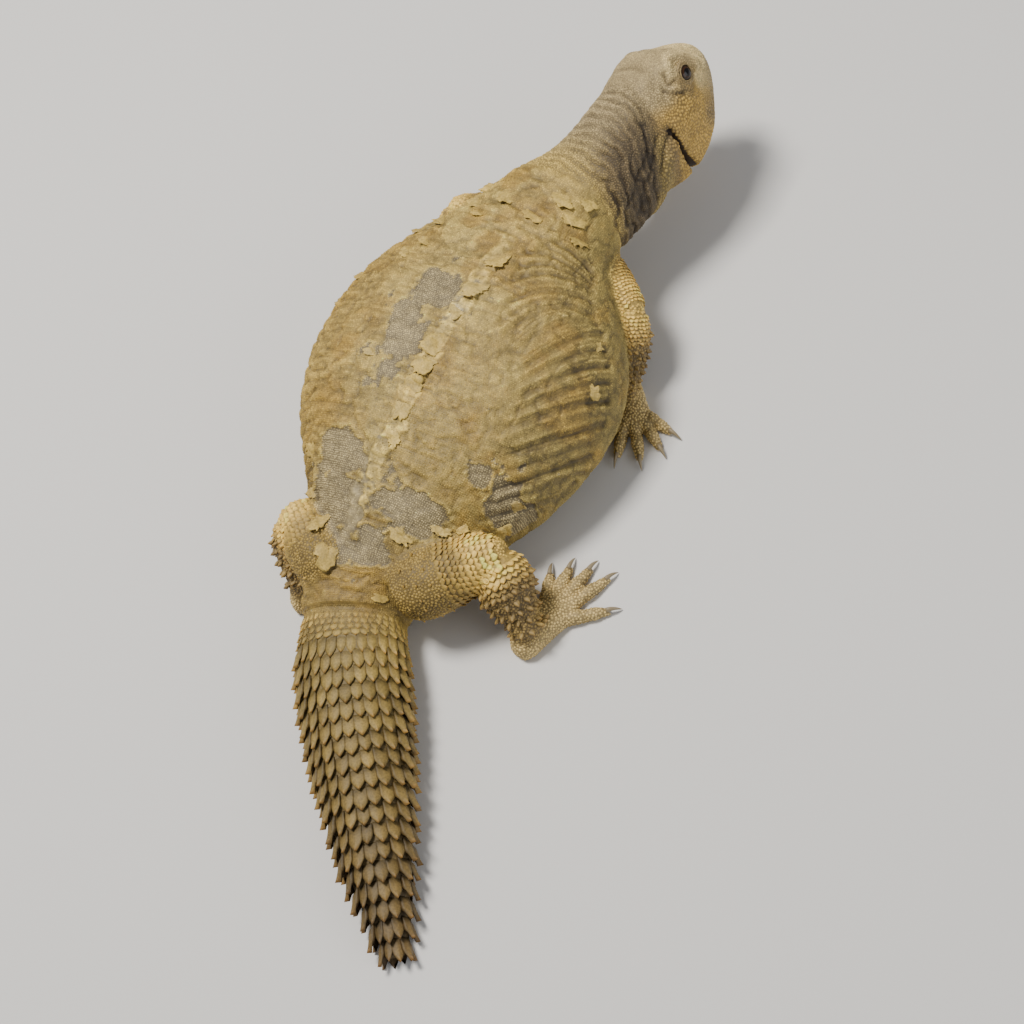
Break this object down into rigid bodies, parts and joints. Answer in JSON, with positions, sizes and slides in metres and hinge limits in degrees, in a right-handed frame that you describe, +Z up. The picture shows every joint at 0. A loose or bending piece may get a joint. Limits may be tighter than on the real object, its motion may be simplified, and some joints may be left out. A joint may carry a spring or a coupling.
{
  "type": "egyptian uromastyx lizard model",
  "caption": "Life-size spiny-tailed lizard resting flat on its belly, neck raised and head turned to its right, tail laid in a curve.",
  "frame": {"origin": "centre of the model's outline in plan, at the floor it rests on", "axes": "+Y from tail to head along the trunk, +X to the animal's right, +Z up"},
  "size_m": [0.2284, 0.5267, 0.0996],
  "materials": {
    "skin": "dry fine-scaled hide, sandy olive",
    "eye": "wet dark brown"
  },
  "bodies": {
    "root": {"head": "skin", "neck": "skin", "torso": "skin", "tail_1": "skin", "tail_2": "skin", "tail_3": "skin", "tail_4": "skin", "upper_arm_left": "skin", "forearm_left": "skin", "hand_left": "skin", "thigh_left": "skin", "shin_left": "skin", "foot_left": "skin", "upper_arm_right": "skin", "forearm_right": "skin", "hand_right": "skin", "thigh_right": "skin", "shin_right": "skin", "foot_right": "skin", "eye_left": "eye", "eye_right": "eye"}
  },
  "joints": []
}
